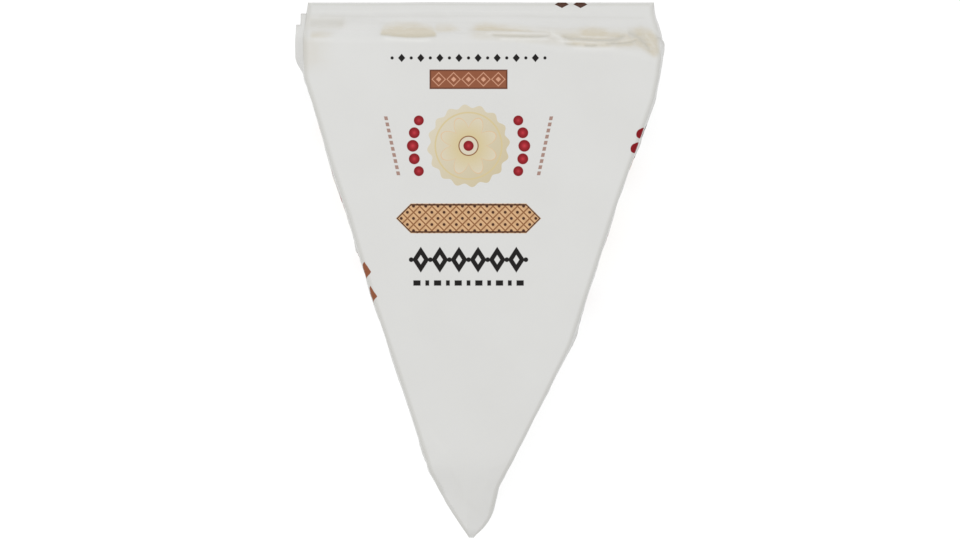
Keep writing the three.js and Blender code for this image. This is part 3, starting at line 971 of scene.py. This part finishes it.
@dataclass
class UndersideLaps:
    """The laps that the pack lies on: the long seam, and a flap folded under at either end."""

    form: WrapForm
    seam: tuple[Pair, Pair] = ((-9.0, -43.0), (-17.0, 66.0))
    seam_inset: float = 0.1
    seam_turn: float = 1.1
    seam_rise: float = 1.3
    seam_step: float = 2.5
    end_depth: float = 21.0
    end_back: float = 0.15
    end_insets: Pair = (12.0, 1.2)
    tip_run: Pair = (-68.4, -44.5)
    tip_insets: Pair = (0.9, 3.0)
    skin: float = 0.2
    stations: int = 70
    columns: int = 40

    def _seam_x(self, y: Array) -> Array:
        """Gives the x of the seam's free edge."""
        (from_x, from_y), (to_x, to_y) = self.seam
        return from_x + (to_x - from_x) * (y - from_y) / (to_y - from_y)

    def _flap(self, name: str, run: Pair, insets: Pair, over_seam: bool) -> bpy.types.Object:
        """Makes a flap folded under, which lies along the skin's own underside.

        Args:
            name: The flap's name.
            run: The y that it starts and stops at.
            insets: How far its ends lie inside the sides, at its start and its stop.
            over_seam: Whether it lies over the seam's lap where it crosses it.

        Returns:
            The sheet, which still has no thickness.
        """
        form = self.form
        y = np.linspace(*run, self.stations)[:, None]
        inset = np.linspace(*insets, self.stations)[:, None]
        left, right = form.left.x(y) + inset, form.right.x(y) - inset
        x = left + (right - left) * np.linspace(0, 1, self.columns)[None, :]
        seam = self._seam_x(y)
        over = smooth_step(x, seam - self.seam_step, seam) if over_seam else 0 * x
        z = form.foot(y) - form.base_z + form.lap * (1 - over)
        grid = np.stack(np.broadcast_arrays(x, y, z), -1)
        still = np.zeros(grid.shape[:2])
        return sheet_piece(name, grid, still, still)

    def build_seam(self) -> bpy.types.Object:
        """Builds the right-hand panel's lap, from its free edge near the middle to the right side."""
        form = self.form
        y = np.linspace(self.seam[0][1], self.seam[1][1], self.stations)[:, None]
        free, right = self._seam_x(y), form.right.x(y) - self.seam_inset
        x = free + (right - free) * np.linspace(0, 1, self.columns)[None, :]
        turn = np.clip(1 - (right - x) / self.seam_turn, 0, 1)
        z = form.lap + self.seam_rise * (1 - np.sqrt(1 - turn * turn))
        grid = np.stack(np.broadcast_arrays(x, y, z), -1)
        still = np.zeros(grid.shape[:2])
        return sheet_piece("seam_lap", grid, still, still)

    def build_end_flap(self) -> bpy.types.Object:
        """Builds the flap folded under at the rind end, narrower at its free edge."""
        end = self.form.end_y
        return self._flap("end_flap", (end - self.end_depth, end - self.end_back), self.end_insets, True)

    def build_tip_flap(self) -> bpy.types.Object:
        """Builds the small flap folded under at the tip."""
        return self._flap("tip_flap", self.tip_run, self.tip_insets, False)


class Socket:
    """Wraps one output of a node, so that sums written on it add the Math nodes."""

    def __init__(self, nodes: "NodeMaker", link: bpy.types.NodeSocket) -> None:
        """Keeps the output and the maker of its tree's nodes."""
        self.nodes = nodes
        self.link = link

    def _math(self, operation: str, *values: "Socket | float", clamp: bool = False) -> "Socket":
        """Adds a Math node on these values, in order."""
        settings = {"operation": operation, "use_clamp": clamp}
        return self.nodes.make("ShaderNodeMath", settings, dict(enumerate(values)))[0]

    def __add__(self, other: "Socket | float") -> "Socket":
        """Gives self + other."""
        return self._math("ADD", self, other)

    __radd__ = __add__

    def __sub__(self, other: "Socket | float") -> "Socket":
        """Gives self - other."""
        return self._math("SUBTRACT", self, other)

    def __rsub__(self, other: "Socket | float") -> "Socket":
        """Gives other - self."""
        return self._math("SUBTRACT", other, self)

    def __mul__(self, other: "Socket | float") -> "Socket":
        """Gives self * other."""
        return self._math("MULTIPLY", self, other)

    __rmul__ = __mul__

    def __truediv__(self, other: "Socket | float") -> "Socket":
        """Gives self / other."""
        return self._math("DIVIDE", self, other)

    def __abs__(self) -> "Socket":
        """Gives the distance from 0."""
        return self._math("ABSOLUTE", self)

    def __pow__(self, other: float) -> "Socket":
        """Gives self to a power."""
        return self._math("POWER", self, other)

    def low(self, other: "Socket | float") -> "Socket":
        """Gives the lower of the two."""
        return self._math("MINIMUM", self, other)

    def high(self, other: "Socket | float") -> "Socket":
        """Gives the higher of the two."""
        return self._math("MAXIMUM", self, other)

    def floor(self) -> "Socket":
        """Gives the whole number below."""
        return self._math("FLOOR", self)

    def sine(self) -> "Socket":
        """Gives the sine of an angle in radians."""
        return self._math("SINE", self)

    def angle(self, other: "Socket") -> "Socket":
        """Gives the angle, in radians, of the point with x = other and y = self."""
        return self._math("ARCTAN2", self, other)

    def clamped(self) -> "Socket":
        """Gives the value held between 0 and 1."""
        return self._math("ADD", self, 0.0, clamp=True)


class NodeMaker:
    """Makes the nodes of one tree."""

    def __init__(self, tree: bpy.types.NodeTree) -> None:
        """Keeps the tree."""
        self.tree = tree

    def make(self, kind: str, settings: dict | None = None, inputs: dict | None = None) -> list[Socket]:
        """Adds a node.

        Args:
            kind: The node's type.
            settings: Its settings, which are set first.
            inputs: For each input's name or number, a value or a socket to link.

        Returns:
            The node's outputs, in order.
        """
        node = self.tree.nodes.new(kind)
        for name, value in (settings or {}).items():
            setattr(node, name, value)
        for name, value in (inputs or {}).items():
            if isinstance(value, Socket):
                self.tree.links.new(value.link, node.inputs[name])
            else:
                node.inputs[name].default_value = value
        return [Socket(self, output) for output in node.outputs]

    def mix(self, mask: "Socket | float", under: "Socket | Colour", over: "Socket | Colour") -> Socket:
        """Lays one colour over another where the mask is 1."""
        values = {
            slot: (*colour, 1.0) if isinstance(colour, tuple) else colour
            for slot, colour in ((6, under), (7, over))
        }
        return self.make("ShaderNodeMix", {"data_type": "RGBA"}, {0: mask, **values})[2]


@dataclass(frozen=True)
class Ink:
    """The inks of the print."""

    black: Colour = srgb(14, 10, 9)
    terracotta: Colour = srgb(132, 78, 52)
    terracotta_dark: Colour = srgb(98, 54, 34)
    pale: Colour = srgb(196, 146, 120)
    red: Colour = srgb(122, 6, 18)
    red_light: Colour = srgb(186, 52, 62)
    cream: Colour = srgb(200, 192, 172)
    cream_deep: Colour = srgb(190, 178, 148)
    straw: Colour = srgb(196, 180, 136)
    tan: Colour = srgb(208, 170, 128)
    brown: Colour = srgb(132, 88, 54)
    umber: Colour = srgb(66, 34, 18)


class Outline(Enum):
    """The plain shapes that the print is drawn with."""

    BOX = "box"
    LOZENGE = "lozenge"
    ELLIPSE = "ellipse"


class PrintedDesign:
    """The design printed on the wrap, drawn as plain ornaments in the sheet's millimetres."""

    edge = 0.12

    def __init__(self, nodes: NodeMaker, u: Socket, v: Socket, ink: Ink) -> None:
        """Keeps the design's own coordinates, with u from its middle line, and its inks."""
        self.nodes, self.ink = nodes, ink
        self.u, self.v = u - DESIGN_MIDDLE[0], v

    def inside(self, distance: Socket, softness: float = edge) -> Socket:
        """Turns a distance from an outline, below 0 inside it, into a mask."""
        return (0.5 - distance / softness).clamped()

    def shape(self, outline: Outline, u: Socket, v: Socket, half_u: float, half_v: float) -> Socket:
        """Gives the distance from a plain shape about the origin of u and v.

        Args:
            outline: Which shape it is.
            u: The coordinate across it.
            v: The coordinate up it.
            half_u: Half its width.
            half_v: Half its height.

        Returns:
            The distance, below 0 inside the shape.
        """
        if outline is Outline.BOX:
            return (abs(u) - half_u).high(abs(v) - half_v)
        across, up = abs(u) / half_u, abs(v) / half_v
        if outline is Outline.LOZENGE:
            return (across + up - 1.0) * min(half_u, half_v)
        return ((across * across + up * up) ** 0.5 - 1.0) * min(half_u, half_v)

    def row(self, u: Socket, pitch: float, count: int) -> tuple[Socket, Socket]:
        """Repeats the space along u.

        Args:
            u: The coordinate along the row, from its middle.
            pitch: The distance from one place to the next.
            count: How many places the row has.

        Returns:
            The coordinate from the nearest place, and that place's number from the middle.
        """
        shift = 0.0 if count % 2 else 0.5
        number = (u / pitch + (0.5 - shift)).floor()
        number = number.high(-(count // 2) * 1.0).low((count - 1) // 2 * 1.0)
        return u - (number + shift) * pitch, number

    def odd(self, number: Socket) -> Socket:
        """Gives 1 for an odd whole number and 0 for an even one."""
        half = number / 2
        return (half - half.floor()) * 2.0

    def beads(self, paper: Socket) -> Socket:
        """Paints the row of small black lozenges and dots nearest to the rind end."""
        v = self.v - 55.0
        near, number = self.row(self.u, 2.5, 17)
        odd = self.odd(number)
        dot = self.inside(self.shape(Outline.ELLIPSE, near, v, 0.42, 0.42))
        leaf = self.inside(self.shape(Outline.LOZENGE, near, v, 0.95, 1.1))
        return self.nodes.mix(dot * (1 - odd) + leaf * odd, paper, self.ink.black)

    def tiles(self, paper: Socket) -> Socket:
        """Paints the terracotta band with its pale lozenges."""
        v = self.v - 49.4
        rim = self.inside(self.shape(Outline.BOX, self.u, v, 10.2, 2.55))
        paper = self.nodes.mix(rim, paper, self.ink.terracotta_dark)
        paper = self.nodes.mix(
            self.inside(self.shape(Outline.BOX, self.u, v, 9.8, 2.15)), paper, self.ink.terracotta
        )
        near, _ = self.row(self.u, 3.9, 5)
        outer = self.shape(Outline.LOZENGE, near, v, 1.75, 1.75)
        paper = self.nodes.mix(self.inside(abs(outer) - 0.14), paper, self.ink.pale)
        inner = self.shape(Outline.LOZENGE, near, v, 0.7, 0.7)
        return self.nodes.mix(self.inside(inner), paper, self.ink.pale)

    def rosette(self, paper: Socket) -> Socket:
        """Paints the large cream rosette with its straw-coloured petals."""
        u, v = self.u, self.v - 32.0
        radius = (u * u + v * v) ** 0.5
        turn = v.angle(u)
        scallop = radius - 10.4 - 0.45 * (turn * 16.0).sine()
        shade = (0.5 + 0.035 * u - 0.03 * v).clamped()
        body = self.nodes.mix(shade, self.ink.cream, self.ink.cream_deep)
        paper = self.nodes.mix(self.inside(scallop), paper, body)
        ring = abs(radius - 8.7) - 0.2
        paper = self.nodes.mix(self.inside(ring, 0.2) * 0.9, paper, self.ink.straw)
        petal = radius - 4.6 - 3.1 * abs((turn * 4.0).sine())
        fill = self.nodes.mix(((radius - 2.0) / 6.0).clamped(), self.ink.straw, self.ink.cream)
        paper = self.nodes.mix(self.inside(petal), paper, fill)
        paper = self.nodes.mix(self.inside(abs(petal) - 0.12) * 0.7, paper, self.ink.tan)
        paper = self.nodes.mix(self.inside(radius - 2.5), paper, self.ink.cream)
        return self.nodes.mix(self.inside(abs(radius - 2.5) - 0.15), paper, self.ink.brown)

    def fruit(self, paper: Socket) -> Socket:
        """Paints the round red dots in an arc on either side of the rosette, and one in its middle."""
        u, v = abs(self.u), self.v - 32.0
        nearest = (u * u + v * v) ** 0.5 - 1.35
        for step in range(-2, 3):
            angle = math.radians(13.5 * step)
            off_u, off_v = u - 14.6 * math.cos(angle), v - 14.6 * math.sin(angle)
            size = 1.55 - 0.12 * abs(step)
            nearest = nearest.low((off_u * off_u + off_v * off_v) ** 0.5 - size)
        depth = (-1.0 * nearest / 1.5).clamped()
        fill = self.nodes.mix(depth * depth, self.ink.red, self.ink.red_light)
        return self.nodes.mix(self.inside(nearest), paper, fill)

    def dashes(self, paper: Socket) -> Socket:
        """Paints a slanted line of short brown dashes outside each arc of dots."""
        u, v = abs(self.u) - 20.0, self.v - 32.0
        across = u - 0.22 * v
        near, _ = self.row(v, 1.6, 10)
        mask = self.inside(self.shape(Outline.BOX, across, near, 0.45, 0.5))
        return self.nodes.mix(mask * 0.75, paper, self.ink.terracotta)

    def plait(self, paper: Socket) -> Socket:
        """Paints the tan band with pointed ends, crossed by brown lines like plaited straw."""
        u, v = self.u, self.v - 13.0
        outline = (abs(u) + abs(v) - 19.0).high(abs(v) - 3.9)
        pitch, count = 3.2, 15
        rising, _ = self.row(u + v, pitch, count)
        falling, _ = self.row(u - v, pitch, count)
        fill = self.nodes.mix((abs(rising) * 2 / pitch).clamped() * 0.35, self.ink.tan, self.ink.brown)
        fill = self.nodes.mix(self.inside(abs(rising).low(abs(falling)) - 0.26, 0.2), fill, self.ink.brown)
        stud = ((abs(rising) - pitch / 2) ** 2 + (abs(falling) - pitch / 2) ** 2) ** 0.5 - 0.55
        fill = self.nodes.mix(self.inside(stud, 0.2), fill, self.ink.umber)
        fill = self.nodes.mix(self.inside(abs(outline + 0.35) - 0.2), fill, self.ink.umber)
        return self.nodes.mix(self.inside(outline), paper, fill)

    def lozenges(self, paper: Socket) -> Socket:
        """Paints the large black row of open lozenges and discs."""
        v = self.v - 2.2
        near, _ = self.row(self.u, 5.0, 6)
        tall = self.shape(Outline.LOZENGE, near, v, 2.2, 3.4)
        eye = self.shape(Outline.LOZENGE, near, v, 0.8, 1.25)
        paper = self.nodes.mix(self.inside(tall.high(eye * -1.0)), paper, self.ink.black)
        between, _ = self.row(self.u, 5.0, 7)
        disc = self.shape(Outline.ELLIPSE, between, v, 0.62, 0.62)
        return self.nodes.mix(self.inside(disc), paper, self.ink.black)

    def bars(self, paper: Socket) -> Socket:
        """Paints the row of small black bars nearest to the tip."""
        v = self.v + 3.9
        near, number = self.row(self.u, 2.7, 11)
        mark = (abs(near) - 0.5 - 0.45 * self.odd(number)).high(abs(v) - 0.7)
        return self.nodes.mix(self.inside(mark), paper, self.ink.black)

    def paint(self, paper: Socket) -> Socket:
        """Paints every part of the design on the paper's own colour."""
        parts = (
            self.beads,
            self.tiles,
            self.rosette,
            self.fruit,
            self.dashes,
            self.plait,
            self.lozenges,
            self.bars,
        )
        for part in parts:
            paper = part(paper)
        return paper


@dataclass(frozen=True)
class StrayMark:
    """An ornament of the print that runs over a folded edge, in the sheet's own place."""

    outline: Outline
    centre: Pair
    half: Pair
    ink: Colour

    def paint(self, design: PrintedDesign, u: Socket, v: Socket, paper: Socket) -> Socket:
        """Paints the mark."""
        distance = design.shape(self.outline, u - self.centre[0], v - self.centre[1], *self.half)
        return design.nodes.mix(design.inside(distance), paper, self.ink)


@dataclass(frozen=True)
class PaperFinish:
    """White coated wrapping paper: its tints, the painted shade and highlights of its folds, its sheen and
    the fine relief of its fibres.
    """

    white: Colour = (0.602, 0.602, 0.589)
    shade: Colour = (0.566, 0.563, 0.546)
    stain: Colour = (0.516, 0.474, 0.380)
    # Painted light: the colour of painted shade in folds and along edges, the colour of a painted highlight
    # on ridges, and how strongly both are painted.
    crease: Colour = (0.400, 0.392, 0.350)
    painted_highlight: Colour = (0.690, 0.690, 0.668)
    painted_light_strength: float = 0.78
    stain_spread: Pair = (2.2, 1.2)
    specular: float = 0.14
    roughness: float = 0.44
    roughness_spread: float = 0.12
    fibre_scale: float = 2600.0
    fibre_relief: float = 0.05
    mottle_scale: float = 60.0
    ink: Ink = Ink()
    marks: tuple[StrayMark, ...] = (
        StrayMark(Outline.LOZENGE, (-30.2, -1.0), (1.7, 2.6), Ink.terracotta),
        StrayMark(Outline.LOZENGE, (-28.6, -7.4), (1.7, 2.6), Ink.terracotta),
        StrayMark(Outline.ELLIPSE, (42.4, 35.0), (1.5, 1.5), Ink.red),
        StrayMark(Outline.ELLIPSE, (40.9, 31.2), (1.5, 1.5), Ink.red),
        StrayMark(Outline.LOZENGE, (22.0, 86.4), (1.9, 1.9), Ink.umber),
        StrayMark(Outline.LOZENGE, (27.0, 86.4), (1.9, 1.9), Ink.umber),
    )

    def material(self) -> bpy.types.Material:
        """Makes the paper's material, with the print on it."""
        made = bpy.data.materials.new("coated_paper")
        made.use_nodes = True
        made.node_tree.nodes.clear()
        nodes = NodeMaker(made.node_tree)
        place = nodes.make("ShaderNodeTexCoord")[3]
        mottle = self._noise(nodes, place, self.mottle_scale, 4.0)
        grain = self._noise(nodes, place, self.mottle_scale * 9, 3.0)

        paper = nodes.mix((mottle * 1.6 - 0.3).clamped() * 0.6, self.white, self.shade)
        damp = self._attribute(nodes, STAIN)
        broad, fine = self.stain_spread
        ragged = damp * (1.0 + (mottle - 0.5) * broad + (grain - 0.5) * fine)
        paper = nodes.mix(ragged.clamped(), paper, self.stain)
        # Painted shade in the folds and along the face's edges, and painted highlights on ridges.
        fold = self._attribute(nodes, SHADE_AND_HIGHLIGHT) * self.painted_light_strength
        paper = nodes.mix(fold.clamped(), paper, self.crease)
        paper = nodes.mix((fold * -1.0).clamped(), paper, self.painted_highlight)

        design = PrintedDesign(nodes, *self._chart(nodes, PRINT_UV), self.ink)
        printed = design.paint(paper)
        sheet_u, sheet_v = self._chart(nodes, SHEET_UV)
        for mark in self.marks:
            printed = mark.paint(design, sheet_u, sheet_v, printed)

        fibre = self._noise(nodes, place, self.fibre_scale, 3.0)
        rough = self.roughness + (mottle - 0.5) * self.roughness_spread - damp * 0.08
        bump = nodes.make(
            "ShaderNodeBump", {}, {"Strength": self.fibre_relief, "Distance": 0.0001, "Height": fibre}
        )[0]
        shader = nodes.make(
            "ShaderNodeBsdfPrincipled",
            {},
            {"Base Color": printed, "Roughness": rough, "Normal": bump, "Specular IOR Level": self.specular},
        )[0]
        nodes.make("ShaderNodeOutputMaterial", {}, {"Surface": shader})
        return made

    def _noise(self, nodes: NodeMaker, place: Socket, scale: float, detail: float) -> Socket:
        """Adds a noise of 0 to 1 at a scale in turns a metre."""
        inputs = {"Vector": place, "Scale": scale, "Detail": detail}
        return nodes.make("ShaderNodeTexNoise", {}, inputs)[0]

    def _attribute(self, nodes: NodeMaker, name: str) -> Socket:
        """Reads a number that the mesh carries."""
        return nodes.make("ShaderNodeAttribute", {"attribute_name": name})[2]

    def _chart(self, nodes: NodeMaker, name: str) -> tuple[Socket, Socket]:
        """Reads a UV map's u and v."""
        uv = nodes.make("ShaderNodeUVMap", {"uv_map": name})[0]
        u, v, _ = nodes.make("ShaderNodeSeparateXYZ", {}, {0: uv})
        return u, v


class BuckleTree:
    """Geometry nodes that buckle a sheet of paper: broad soft waves, and small flat facets."""

    def __init__(self) -> None:
        """Builds the tree."""
        tree = bpy.data.node_groups.new("paper_buckle", "GeometryNodeTree")
        self.tree = tree
        self.inputs: dict[str, str] = {}
        for name, kind in (
            ("Geometry", "NodeSocketGeometry"),
            ("Wave Height", "NodeSocketFloat"),
            ("Wave Scale", "NodeSocketFloat"),
            ("Facet Height", "NodeSocketFloat"),
            ("Facet Scale", "NodeSocketFloat"),
            ("Seed", "NodeSocketFloat"),
            ("Material", "NodeSocketMaterial"),
        ):
            item = tree.interface.new_socket(name=name, in_out="INPUT", socket_type=kind)
            self.inputs[name] = item.identifier
        tree.interface.new_socket(name="Geometry", in_out="OUTPUT", socket_type="NodeSocketGeometry")
        self._wire()

    def _wire(self) -> None:
        """Adds the tree's nodes."""
        nodes = NodeMaker(self.tree)
        geometry, wave, wave_scale, facet, facet_scale, seed, material = nodes.make("NodeGroupInput")[:7]
        place = nodes.make("GeometryNodeInputPosition")[0]
        normal = nodes.make("GeometryNodeInputNormal")[0]
        give = nodes.make("GeometryNodeInputNamedAttribute", {"data_type": "FLOAT"}, {"Name": GIVE})[0]
        soft = nodes.make(
            "ShaderNodeTexNoise",
            {"noise_dimensions": "4D"},
            {"Vector": place, "W": seed, "Scale": wave_scale, "Detail": 2.0},
        )[0]
        cell = nodes.make(
            "ShaderNodeTexVoronoi",
            {"voronoi_dimensions": "4D", "feature": "F1"},
            {"Vector": place, "W": seed, "Scale": facet_scale},
        )[0]
        offset = give * (wave * (soft - 0.5) * 2.0 + facet * (cell - 0.5))
        shift = nodes.make("ShaderNodeVectorMath", {"operation": "SCALE"}, {0: normal, "Scale": offset})[0]
        moved = nodes.make("GeometryNodeSetPosition", {}, {"Geometry": geometry, "Offset": shift})[0]
        real = nodes.make("GeometryNodeRealizeInstances", {}, {"Geometry": moved})[0]
        done = nodes.make("GeometryNodeSetMaterial", {}, {"Geometry": real, "Material": material})[0]
        nodes.make("NodeGroupOutput", {}, {"Geometry": done})

    def apply(self, piece: bpy.types.Object, values: dict[str, object], thickness: float) -> None:
        """Buckles a piece and makes the result its plain mesh.

        Args:
            piece: The piece.
            values: For each named input, its value.
            thickness: How thick an open sheet becomes, in metres, or 0 for a closed skin.
        """
        modifier = piece.modifiers.new("buckle", "NODES")
        modifier.node_group = self.tree
        for name, value in values.items():
            modifier[self.inputs[name]] = value
        if thickness:
            body = piece.modifiers.new("thickness", "SOLIDIFY")
            body.thickness = thickness
        bpy.context.view_layer.update()
        graph = bpy.context.evaluated_depsgraph_get()
        mesh = bpy.data.meshes.new_from_object(piece.evaluated_get(graph), depsgraph=graph)
        piece.modifiers.clear()
        piece.data = mesh
        mesh.name = piece.name


@dataclass(frozen=True)
class Studio:
    """A plain pale floor, lit faintly from within, an even surround, one soft key light and the camera."""

    floor_reach: float = 30.0
    floor_z: float = -0.00002
    floor_colour: Colour = (0.3, 0.3, 0.3)
    floor_glow: float = 0.75
    surround: float = 0.89
    key_power: float = 5.65
    key_size: float = 1.4
    key_place: tuple[float, float, float] = (-0.16, 0.38, 1.0)
    camera_height: float = 0.95
    camera_y: float = -0.0005
    lens: float = 132.0

    def build(self) -> None:
        """Builds the studio."""
        self._floor()
        self._world()
        self._key()
        self._camera()
        bpy.context.scene.view_settings.view_transform = "Standard"

    def _floor(self) -> None:
        """Lays the floor."""
        reach = self.floor_reach
        mesh = bpy.data.meshes.new("floor")
        corners = [(x * reach, y * reach, self.floor_z) for x, y in ((-1, -1), (1, -1), (1, 1), (-1, 1))]
        mesh.from_pydata(corners, [], [(0, 1, 2, 3)])
        floor = bpy.data.objects.new("floor", mesh)
        bpy.context.scene.collection.objects.link(floor)
        made = bpy.data.materials.new("pale_floor")
        made.use_nodes = True
        made.node_tree.nodes.clear()
        nodes = NodeMaker(made.node_tree)
        inputs = {
            "Base Color": (*self.floor_colour, 1.0),
            "Roughness": 1.0,
            "Specular IOR Level": 0.0,
            "Emission Color": (1.0, 1.0, 1.0, 1.0),
            "Emission Strength": self.floor_glow,
        }
        shader = nodes.make("ShaderNodeBsdfPrincipled", {}, inputs)[0]
        nodes.make("ShaderNodeOutputMaterial", {}, {"Surface": shader})
        mesh.materials.append(made)

    def _world(self) -> None:
        """Lights the surround evenly."""
        world = bpy.data.worlds.new("surround")
        world.use_nodes = True
        world.node_tree.nodes.clear()
        nodes = NodeMaker(world.node_tree)
        light = nodes.make("ShaderNodeBackground", {}, {"Color": (1, 1, 1, 1), "Strength": self.surround})[0]
        nodes.make("ShaderNodeOutputWorld", {}, {"Surface": light})
        bpy.context.scene.world = world

    def _key(self) -> None:
        """Hangs the key light, turned to the object."""
        data = bpy.data.lights.new("key", "AREA")
        data.energy, data.size = self.key_power, self.key_size
        key = bpy.data.objects.new("key", data)
        key.location = self.key_place
        key.rotation_euler = (-key.location).to_track_quat("-Z", "Y").to_euler()
        bpy.context.scene.collection.objects.link(key)

    def _camera(self) -> None:
        """Looks straight down on the printed face."""
        data = bpy.data.cameras.new("camera")
        data.lens, data.sensor_width = self.lens, 36.0
        data.clip_start, data.clip_end = 0.05, 100.0
        camera = bpy.data.objects.new("camera", data)
        camera.location = (0.0, self.camera_y, self.camera_height)
        bpy.context.scene.collection.objects.link(camera)
        bpy.context.scene.camera = camera


class Dresser:
    """Gives each finished piece its paper and its body, and hides the imported model's node."""

    wave_scale = 38.0
    facet_scale = 75.0

    def __init__(self, finish: PaperFinish) -> None:
        """Makes the material and the buckling tree once for every piece."""
        self.material = finish.material()
        self.buckle = BuckleTree()

    def dress(
        self, piece: bpy.types.Object, wave: float, facet: float, seed: float, thickness: float = 0.0
    ) -> None:
        """Finishes one piece.

        Args:
            piece: The piece.
            wave: The height of its broad waves, in millimetres.
            facet: The height of its small facets, in millimetres.
            seed: What the waves and facets are drawn from.
            thickness: How thick an open sheet becomes, in millimetres, or 0 for a closed skin.
        """
        self.buckle.apply(
            piece,
            {
                "Wave Height": wave * MM,
                "Wave Scale": self.wave_scale,
                "Facet Height": facet * MM,
                "Facet Scale": self.facet_scale,
                "Seed": seed,
                "Material": self.material,
            },
            thickness * MM,
        )
        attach(piece, BODY)
        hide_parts(NODE)
        log.info("%s: %d faces", piece.name, len(piece.data.polygons))


def main() -> None:
    """Builds every piece and the studio."""
    logging.basicConfig(level=logging.INFO, format="%(message)s")
    form = WrapForm()
    dresser = Dresser(PaperFinish())
    dresser.dress(WrapSkin(form).build(), wave=0.3, facet=0.2, seed=3.0)
    corner = CornerLaps(form)
    for number, lap in enumerate(corner.laps):
        dresser.dress(corner.build(lap), wave=0.3, facet=0.1, seed=5.0 + number, thickness=0.18)
    under = UndersideLaps(form)
    for lap in (under.build_seam(), under.build_end_flap(), under.build_tip_flap()):
        dresser.dress(lap, wave=0.0, facet=0.0, seed=8.0, thickness=under.skin)
    Studio().build()


if __name__ == "__main__":
    main()
